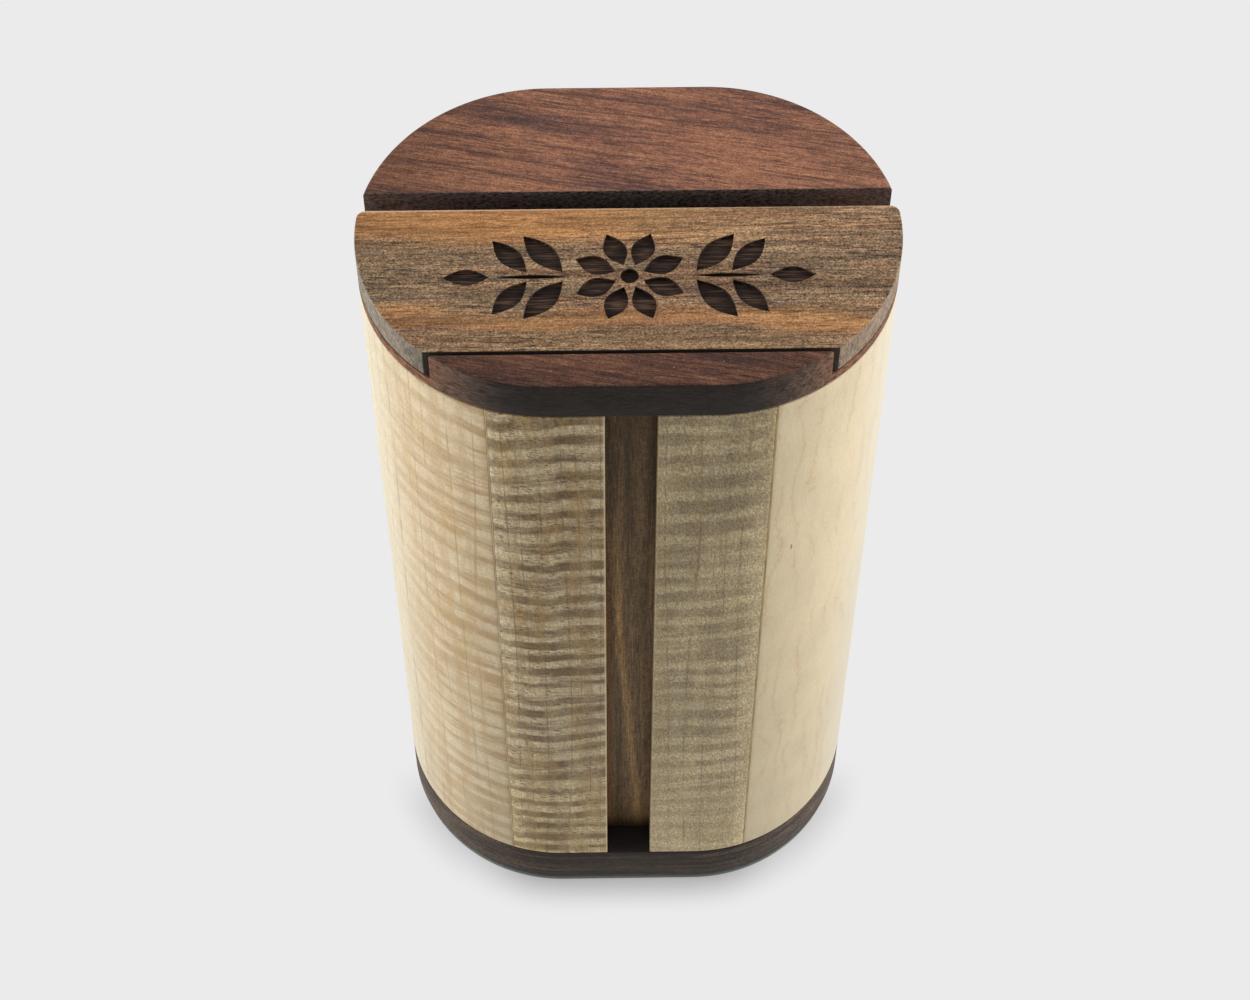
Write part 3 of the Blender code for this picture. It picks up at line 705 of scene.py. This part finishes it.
def panel_walnut(name, seed):
    """Light walnut: golden along the rear and the front, grey-brown between, and burnt where engraved."""
    s = Shader(name, roughness=0.6, specular=0.2)
    along, across, depth = s.grain()
    where = (along, across, depth)
    wander = s.math("SUBTRACT", s.noise(where, (48, 6, 6), 2, seed=seed), 0.5)
    level = s.total((across, 1.0), (wander, 18.0))
    behind = s.math("MULTIPLY", s.remap(level, -8.0, 1.0), s.remap(along, 40.0, -25.0, 0.35, 1.0))
    front = s.math("MULTIPLY", s.remap(level, -17.0, -22.0), s.remap(level, -27.5, -24.5, 0.15, 0.75))
    gold = s.math("MAXIMUM", behind, front)
    red = s.remap(s.noise(where, (32, 2.6, 3), 2, seed=seed + 8), 0.5, 0.64, 0.0, 0.3)
    broad = s.noise(where, (40, 2.0, 2.6), 2, 0.55, 0.2, seed=seed + 1)
    fine = s.noise(where, (6, 0.36, 0.4), 2, 0.65, seed=seed + 2)
    shade = s.remap(s.total((broad, 0.55), (fine, 0.45)), 0.36, 0.64, 0.54, 1.42, smooth_step=False)
    colour = s.mix(gold, srgb(146, 119, 90), srgb(181, 130, 81))
    colour = s.scale(colour, s.remap(along, -50.0, -16.0, 0.9, 1.0))
    pale = s.math("MULTIPLY", s.remap(level, -8.0, 1.0), s.remap(along, -10.0, 30.0, 0.0, 0.6))
    colour = s.mix(pale, colour, srgb(186, 147, 110))
    colour = s.mix(red, colour, srgb(160, 104, 72))
    grey = s.remap(s.noise(where, (28, 1.7, 2.6), 2, 0.6, seed=seed + 11), 0.52, 0.64, 0.0, 0.55)
    not_gold = s.remap(gold, 0.0, 1.0, 1.0, 0.15)
    colour = s.scale(s.mix(s.math("MULTIPLY", grey, not_gold), colour, srgb(92, 82, 74)), shade)
    pores = open_grain(s, where, seed + 3)
    pore_colour = s.mix(gold, srgb(62, 48, 42), srgb(96, 60, 38))
    colour = s.mix(s.math("MULTIPLY", pores, s.remap(gold, 0.0, 1.0, 0.85, 0.6)), colour, pore_colour)
    colour = s.mix(s.math("MULTIPLY", gold, 0.5), tooth(s, colour, where, 0.75, 0.3, seed + 9), colour)
    colour = dust(s, colour, where, seed + 12)

    x, y, z = s.place()
    end_wood = s.mix(s.remap(x, -20.0, 20.0), srgb(112, 106, 94), srgb(122, 106, 90))
    end_wood = s.scale(end_wood, s.remap(x, -46.0, -36.0, 1.65, 0.62))
    end_wood = s.scale(end_wood, s.remap(x, 12.0, 52.0, 1.0, 2.6))
    end_pores = s.total((s.noise((x, y, z), (0.4, 0.4, 1.4), 2, 0.7, seed=seed + 10), 0.7), (broad, 0.3))
    end_wood = s.scale(end_wood, s.remap(end_pores, 0.36, 0.64, 0.4, 1.6, smooth_step=False))
    end_grain = s.remap(s.facing(2), 0.25, 0.75, 0.85, 0.0)
    colour = s.mix(end_grain, colour, end_wood)
    # Painted highlight: a pale line along the rear arris, stronger towards -X
    rear_y = PANEL_HIGH.y / MM
    arris = s.math("MULTIPLY", s.remap(y, rear_y - 0.6, rear_y - 0.3), s.remap(s.facing(2), 0.2, 0.5))
    arris = s.math("MULTIPLY", arris, s.remap(x, -40.0, 30.0, 0.7, 0.15))
    colour = s.mix(arris, colour, srgb(226, 194, 160))
    # Painted shade: the front face is painted near black, the shade in the gap in front of the panel
    front_face = s.math("MULTIPLY", s.remap(y, PANEL_LOW.y / MM + 0.1, PANEL_LOW.y / MM + 0.5, 0.9, 0.0),
                        s.remap(s.facing(1), 0.8, 0.95))
    colour = s.mix(front_face, colour, srgb(40, 34, 32))
    deep = s.remap(z, PANEL_HIGH.z / MM - 0.30, PANEL_HIGH.z / MM - 0.08, 1.0, 0.0)
    shallow = s.remap(z, PANEL_HIGH.z / MM - 2.0, PANEL_HIGH.z / MM - 1.5)
    wide = s.remap(s.math("ABSOLUTE", x), 38.0, 39.0, 1.0, 0.0)
    tall = s.remap(s.math("ABSOLUTE", s.math("ADD", y, -ENGRAVING_Y / MM)), 11.5, 12.0, 1.0, 0.0)
    burnt = s.math("MULTIPLY", s.math("MULTIPLY", deep, shallow), s.math("MULTIPLY", wide, tall))
    char = s.ramp(s.total((broad, 0.4), (fine, 0.6)), [(0.42, srgb(31, 23, 20)), (0.52, srgb(56, 42, 35)),
                                                       (0.62, srgb(104, 77, 60))])
    colour = s.mix(burnt, colour, char)
    s.set("Base Color", colour)
    s.bump(s.total((pores, -1.0), (fine, 0.5)), 0.06 * MM, 0.8)
    return s.material


def felt_cloth(name):
    """Matted wool: fine fibres in every direction, no weave."""
    s = Shader(name, roughness=0.95, specular=0.1)
    where = s.place()
    tufts = s.noise(where, (1.6, 1.6, 0.8), 3, 0.7, 1.5, seed=1)
    hairs = s.noise(where, (0.25, 0.6, 0.25), 2, 0.7, 2.0, seed=2)
    tone = s.total((tufts, 0.5), (hairs, 0.5))
    s.set("Base Color", s.ramp(tone, [(0.35, srgb(34, 48, 44)), (0.65, srgb(66, 84, 78))]))
    s.set("Sheen Weight", 0.4)
    s.set("Sheen Roughness", 0.6)
    s.bump(tone, 0.15 * MM, 0.8)
    return s.material


def glue_line(name, dark, light):
    """Hardened glue in a seam, between two tones."""
    s = Shader(name, roughness=0.4)
    across, depth, along = s.place()
    tone = s.noise((along, across, depth), (9, 2, 2), 2, seed=3)
    s.set("Base Color", s.ramp(tone, [(0.35, dark), (0.65, light)]))
    return s.material


def turned_brass(name):
    """Brass with fine marks, a little duller in places."""
    s = Shader(name, roughness=0.3)
    s.set("Metallic", 1.0)
    where = s.place()
    tone = s.noise(where, (0.8, 0.8, 0.15), 3, 0.6, seed=5)
    s.set("Base Color", s.ramp(tone, [(0.3, srgb(170, 132, 70)), (0.7, srgb(222, 188, 122))]))
    s.set("Roughness", s.remap(tone, 0.3, 0.7, 0.24, 0.42))
    return s.material


# ---------------------------------------------------------------- where each piece lies in its board

def around(x, y):
    """Distance along the outer wall from the middle of the front, and how far in from the face."""
    side = 1 if x >= 0 else -1
    front = y <= 0
    if abs(x) <= HALF_FLAT / MM:
        run = x if front else side * (math.pi * END_RADIUS / MM + 2 * HALF_FLAT / MM) - x
        return run, END_RADIUS / MM - abs(y)
    dx = abs(x) - HALF_FLAT / MM
    angle = math.atan2(dx, -y)
    run = side * (HALF_FLAT / MM + angle * END_RADIUS / MM)
    return run, END_RADIUS / MM - math.hypot(dx, y)


def upright_grain(x, y, z):
    run, depth = around(x, y)
    return z, run, depth


def level_grain(x, y, z):
    return x, y, z


def slanted_grain(x, y, z):
    """Along a board whose grain runs down to the right, seen from above."""
    turn = math.radians(-11.0)
    return x * math.cos(turn) + y * math.sin(turn), -x * math.sin(turn) + y * math.cos(turn), z


# ---------------------------------------------------------------- engraving

ENGRAVING_Y = -11.5 * MM
ENGRAVING_DEPTH = 0.9 * MM
PETALS = 8
PETAL_INNER = 2.9 * MM
PETAL_OUTER = 11.4 * MM
PETAL_WIDTH = 4.6 * MM
BUD_RADIUS = 1.8 * MM
BUD_SIDES = 40
SPRIG_START = 13.0 * MM
SPRIG_SPACING = 7.0 * MM
SPRIG_PAIRS = 2
LEAF_LENGTH = 12.0 * MM
LEAF_WIDTH = 5.0 * MM
LEAF_ANGLE = math.radians(50.0)
LEAF_OFFSET = 1.1 * MM
LEAF_SHRINK = 0.12              # each pair is this much smaller than the one before
LEAF_STEPS = 20
TIP_LEAF_WIDTH = 0.8            # as a share of LEAF_WIDTH
STEM_WIDTH = 1.0 * MM
STEM_ROOT = 1.0 * MM            # the stem starts this much before the first leaves


def leaf_outline(base_x, base_y, length, width, angle):
    """Pointed leaf from its base, made of two matching bows."""
    bow = [(length * i / LEAF_STEPS, width / 2 * math.sin(math.pi * i / LEAF_STEPS))
           for i in range(LEAF_STEPS + 1)]
    loop = [(x, -y) for x, y in bow] + [(x, y) for x, y in reversed(bow[1:-1])]
    c, s = math.cos(angle), math.sin(angle)
    return [(base_x + x * c - y * s, base_y + x * s + y * c) for x, y in loop]


def engraving_outlines():
    """A rosette between two leafy sprigs."""
    outlines = []
    for i in range(PETALS):
        angle = 2 * math.pi * (i + 0.5) / PETALS
        outlines.append(leaf_outline(PETAL_INNER * math.cos(angle), PETAL_INNER * math.sin(angle),
                                     PETAL_OUTER - PETAL_INNER, PETAL_WIDTH, angle))
    bud_angles = [2 * math.pi * i / BUD_SIDES for i in range(BUD_SIDES)]
    outlines.append([(BUD_RADIUS * math.cos(a), BUD_RADIUS * math.sin(a)) for a in bud_angles])
    stem_end = SPRIG_START + SPRIG_SPACING * SPRIG_PAIRS
    for side in (1, -1):
        heading = 0.0 if side > 0 else math.pi
        for i in range(SPRIG_PAIRS):
            size = 1 - LEAF_SHRINK * i
            x = side * (SPRIG_START + SPRIG_SPACING * i)
            for up in (1, -1):
                outlines.append(leaf_outline(x, up * LEAF_OFFSET, LEAF_LENGTH * size, LEAF_WIDTH * size,
                                             heading + side * up * LEAF_ANGLE))
        tip = LEAF_LENGTH * (1 - LEAF_SHRINK * SPRIG_PAIRS)
        outlines.append(leaf_outline(side * (stem_end + GAP), 0.0, tip, LEAF_WIDTH * TIP_LEAF_WIDTH, heading))
        outlines.append(leaf_outline(side * (SPRIG_START - STEM_ROOT), 0.0, stem_end - SPRIG_START,
                                     STEM_WIDTH, heading))
    return [[(x, y + ENGRAVING_Y) for x, y in outline] for outline in outlines]


# ---------------------------------------------------------------- pieces

def build_base():
    base = eased_prism("base_plate_eased", lambda inset: stadium(END_RADIUS - inset),
                       BASE_LOW.z, BASE_HIGH.z, *BASE_EASE)
    grain(base, level_grain)
    dress(base, dark_walnut("base_walnut", 11, painted_shade_floor=True), "box", "walnut", "base_plate")

    radius = FELT_HIGH.y
    felt = eased_prism("felt_pad_soft", lambda inset: stadium(radius - inset),
                       FELT_LOW.z, FELT_HIGH.z, *FELT_EASE)
    dress(felt, felt_cloth("green_felt"), "box", "felt", "felt_pad")


def build_walls():
    front = front_stave_outline()
    side = side_stave_outline()
    left_curl = curly_maple(
        "maple_left_curl", srgb(226, 206, 170), srgb(190, 160, 118), srgb(206, 176, 132),
        {"side": -1, "period": 7.0, "slope": 0.03, "crook": 0.8, "contrast": 1.0, "calm": 1.0, "fade": 0.35,
         "foot": 0.9, "reach": 0.46, "even": 0.09, "light_and_tone": (0.93, 1.0, 0.965, 1.04), "pale": 0.7,
         "stripes": 0.025, "cloud": 0.03, "gold": 0.35, "warm_foot": 0.0, "hairs": 0.12,
         "dashes": 0.12, "lines": (4.6, 0.6), "arris_highlight": 0.0, "fibre": (4.0, 0.05), "tooth": 0.11})
    front_curl = curly_maple(
        "maple_front_curl", srgb(212, 192, 155), srgb(127, 104, 72), srgb(172, 140, 98),
        {"side": -1, "period": 6.2, "slope": -0.10, "crook": 1.0, "contrast": 1.0, "calm": 0.8, "fade": 1.0,
         "foot": 1.0, "reach": 0.45, "even": 0.12, "light_and_tone": (1.15, 0.88, 1.04, 0.91), "pale": 0.0,
         "stripes": 0.05, "cloud": 0.05, "gold": 0.4, "warm_foot": 0.75, "hairs": 0.7, "dashes": 0.9,
         "lines": (3.2, 0.65), "arris_highlight": 0.6, "fibre": (2.0, 0.18), "tooth": 0.28})
    grey_curl = curly_maple(
        "maple_grey_curl", srgb(198, 179, 142), srgb(140, 123, 95), srgb(172, 150, 112),
        {"side": 1, "period": 6.8, "slope": 0.02, "crook": 0.6, "contrast": 0.72, "calm": 0.3, "fade": 1.0,
         "foot": 0.45, "reach": 0.42, "even": 0.11, "light_and_tone": (1.04, 0.95, 1.11, 0.85), "pale": 0.0,
         "stripes": 0.05, "cloud": 0.10, "gold": 0.15, "warm_foot": 0.2, "hairs": 0.4, "dashes": 0.35,
         "lines": (4.2, 0.6), "arris_highlight": 0.1, "fibre": (1.1, 0.30), "tooth": 0.34}, seed=141)
    creamy = plain_maple("maple_plain", srgb(231, 212, 176), srgb(204, 164, 116), 51, glare_and_dim_foot=True,
                         fleck_at=(145.0, 34.3))
    staves = [
        ("front_left_stave", mirrored(front, flip_x=True), front_curl, "curly_maple"),
        ("front_right_stave", front, grey_curl, "curly_maple"),
        ("rear_left_stave", mirrored(front, flip_x=True, flip_y=True), grey_curl, "curly_maple"),
        ("rear_right_stave", mirrored(front, flip_y=True), front_curl, "curly_maple"),
        ("left_side_stave", mirrored(side, flip_x=True), left_curl, "curly_maple"),
        ("right_side_stave", side, creamy, "plain_maple"),
    ]
    for node, outline, wood, slot in staves:
        stave = prism(node + "_eased", outline, STAVE_LOW.z, STAVE_HIGH.z)
        bevel(stave, STAVE_EASE)
        apply_modifiers(stave)
        grain(stave, upright_grain)
        dress(stave, wood, "box", slot, node)


def build_seams():
    """Thin bars of glue in the four seams, a hair below the surface."""
    amber = glue_line("amber_glue", srgb(160, 130, 72), srgb(200, 172, 112))
    pale = glue_line("pale_glue", srgb(182, 152, 112), srgb(214, 188, 148))
    half = GAP / 2 / END_RADIUS
    clear = GLUE_CLEARANCE * half
    middle = -math.pi / 2 + SEAM_ANGLE
    for name, flip_x, flip_y in (("front_right", False, False), ("front_left", True, False),
                                 ("rear_right", False, True), ("rear_left", True, True)):
        outer = arc(HALF_FLAT, END_RADIUS - GLUE_BELOW, middle - half + clear, middle + half - clear)
        inner = arc(HALF_FLAT, INNER_FACE + GLUE_BELOW, middle + half - clear, middle - half + clear)
        bar = prism("glue_" + name, mirrored(outer + inner, flip_x, flip_y), STAVE_LOW.z, STAVE_HIGH.z)
        dress(bar, pale if flip_x else amber, "box", "plain_maple")


def build_strips():
    wood = strip_walnut("strip_walnut", 61)
    for node in ("front_strip", "rear_strip"):
        low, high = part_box(node)
        strip = box(node + "_eased", low, high)
        bevel(strip, STRIP_EASE)
        apply_modifiers(strip)
        grain(strip, lambda x, y, z: (z, x, y))
        dress(strip, wood, "box", "walnut", node)


def build_lid():
    plate = eased_prism("lid_plate_eased", lambda inset: stadium(END_RADIUS - inset),
                        LID_LOW.z, LID_HIGH.z, *LID_EASE)
    across = HALF_FLAT + END_RADIUS + BEYOND
    subtract(plate, box("dado", (-across, DADO_FRONT, WEB_TOP), (across, DADO_REAR, LID_HIGH.z + BEYOND)))
    subtract(plate, box("coin_slot", (-COIN_SLOT_LENGTH / 2, COIN_SLOT_FRONT, LID_LOW.z - BEYOND),
                        (COIN_SLOT_LENGTH / 2, DADO_REAR, WEB_TOP + BEYOND)))
    subtract(plate, box("hatch", (-HATCH_LENGTH / 2, HATCH_FRONT, LID_LOW.z - BEYOND),
                        (HATCH_LENGTH / 2, HATCH_REAR, WEB_TOP + BEYOND)))
    bevel(plate, LID_CUT_EASE)
    apply_modifiers(plate)
    grain(plate, slanted_grain)
    dress(plate, rosewood("rosewood", 71), "lid", "rosewood", "lid_plate")

    rim = eased_ring("lid_rim_eased", RIM_RADIUS, RIM_RADIUS - RIM_WIDTH, RIM_LOW.z, RIM_HIGH.z, RIM_EASE)
    grain(rim, lambda x, y, z: (around(x, y)[0], z, around(x, y)[1]))
    dress(rim, plain_maple("maple_rim", srgb(230, 210, 172), srgb(206, 170, 126), 81), "lid", "plain_maple",
          "lid_rim")


def build_panel():
    panel = eased_prism("engraved_panel_eased", panel_outline, PANEL_LOW.z, PANEL_HIGH.z, *PANEL_EASE)
    floor = PANEL_HIGH.z - ENGRAVING_DEPTH
    for i, outline in enumerate(engraving_outlines()):
        subtract(panel, prism(f"engraving_{i}", outline, floor, PANEL_HIGH.z + BEYOND))
    apply_modifiers(panel)
    grain(panel, level_grain)
    dress(panel, panel_walnut("panel_walnut", 91), "panel", "light_walnut", "engraved_panel")

    wood = plain_maple("maple_key", srgb(228, 206, 168), srgb(200, 162, 118), 101)
    for node in ("panel_key", "key_batten"):
        piece = eased_copy(node, KEY_EASE)
        grain(piece, lambda x, y, z: (y, x, z))
        dress(piece, wood, "panel", "plain_maple", node)
    brass = turned_brass("screw_brass")
    for node in ("key_screw_front", "key_screw_rear"):
        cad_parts[node].data.materials.clear()
        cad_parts[node].data.materials.append(brass)


def eased_copy(node, width):
    """A copy of a CAD node with its flat faces joined up and its edges rounded."""
    bm = bmesh.new()
    bm.from_mesh(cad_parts[node].data)
    bmesh.ops.remove_doubles(bm, verts=bm.verts, dist=0.001 * MM)
    bmesh.ops.dissolve_limit(bm, angle_limit=math.radians(1.0), verts=bm.verts, edges=bm.edges)
    piece = mesh_object(node + "_eased", bm)
    bevel(piece, width, angle=60.0)
    apply_modifiers(piece)
    return piece


# ---------------------------------------------------------------- stage

PAPER = 0.831                   # the ground's tone to the camera, as a linear value
WARM_FILL = (1.0, 0.985, 0.93)
FLOOR_FILL = 0.58               # strength of the light that the floor gives to the object
SURROUND_FILL = 0.32
FLOOR_HALF = 3.0
SHADOW_REACH = 10.0 * MM
SHADOW_SAMPLES = 12
SHADOW_TONE = 0.42              # the shadow where it is deepest

SUN_AZIMUTH = 97.0
SUN_ELEVATION = 15.0
SUN_STRENGTH = 3.4
SUN_WIDTH = 60.0
SUN_TINT = (0.98, 1.0, 1.06)

CAMERA_TARGET = Vector((-0.5 * MM, 0.0, 113.5 * MM))
CAMERA_DISTANCE = 631.5 * MM
CAMERA_ANGLES = (-1.11, 55.82, 0.24)    # azimuth, elevation and roll in degrees
CAMERA_LENS = 81.0
CAMERA_SENSOR = 36.0
CAMERA_CLIP = 10.0 * MM


def build_stage():
    """A pale floor and a surround of the same tone. The floor takes a close shadow at the flat faces."""
    bm = bmesh.new()
    bmesh.ops.create_grid(bm, x_segments=8, y_segments=8, size=FLOOR_HALF)
    floor = mesh_object("floor", bm)
    floor.data.materials.append(bpy.data.materials.new("floor_paper"))
    paper = Glow(floor.data.materials[0], "ShaderNodeEmission", "ShaderNodeOutputMaterial")
    near = paper.tree.nodes.new("ShaderNodeAmbientOcclusion")
    near.inputs["Distance"].default_value = SHADOW_REACH
    near.samples = SHADOW_SAMPLES
    shadow = paper.remap(near.outputs["AO"], 0.48, 0.96, SHADOW_TONE, PAPER, smooth_step=False)
    x, y = paper.place()[:2]
    by_face = paper.math("MAXIMUM", paper.remap(y, -2.0, -20.0), paper.remap(y, 22.0, 36.0))
    at_corner = paper.remap(paper.math("ABSOLUTE", x), 22.0, 40.0, 1.0, 0.55)
    by_face = paper.math("MULTIPLY", by_face, at_corner)
    paper.show(paper.blend(by_face, PAPER, shadow), FLOOR_FILL, WARM_FILL)

    world = bpy.data.worlds.new("studio")
    bpy.context.scene.world = world
    Glow(world, "ShaderNodeBackground", "ShaderNodeOutputWorld").show(PAPER, SURROUND_FILL, WARM_FILL)


def direction(azimuth, elevation):
    """Unit vector away from the box, from angles in radians. Azimuth 0 is in front and grows to the right."""
    return Vector((math.sin(azimuth) * math.cos(elevation), -math.cos(azimuth) * math.cos(elevation),
                   math.sin(elevation)))


def sun(name, azimuth):
    """A wide soft light from one side."""
    light = bpy.data.lights.new(name, "SUN")
    light.energy = SUN_STRENGTH
    light.color = SUN_TINT
    light.angle = math.radians(SUN_WIDTH)
    obj = bpy.data.objects.new(name, light)
    towards = direction(math.radians(azimuth), math.radians(SUN_ELEVATION))
    obj.rotation_euler = towards.to_track_quat("Z", "Y").to_euler()
    obj.location = towards
    bpy.context.scene.collection.objects.link(obj)


def build_lights():
    sun("left_light", -SUN_AZIMUTH)
    sun("right_light", SUN_AZIMUTH)


def build_camera():
    """Looks down at the box from in front, with a long lens."""
    azimuth, elevation, roll = (math.radians(angle) for angle in CAMERA_ANGLES)
    back = direction(azimuth, elevation)
    camera = bpy.data.cameras.new("camera")
    camera.sensor_width = CAMERA_SENSOR
    camera.lens = CAMERA_LENS
    camera.clip_start = CAMERA_CLIP
    obj = bpy.data.objects.new("camera", camera)
    obj.matrix_world = (Matrix.Translation(CAMERA_TARGET + back * CAMERA_DISTANCE)
                        @ back.to_track_quat("Z", "Y").to_matrix().to_4x4()
                        @ Matrix.Rotation(roll, 4, "Z"))
    bpy.context.scene.collection.objects.link(obj)
    bpy.context.scene.camera = obj


bpy.context.scene.view_settings.view_transform = "Standard"
build_camera()
build_stage()
build_lights()
build_base()
build_walls()
build_seams()
build_strips()
build_lid()
build_panel()
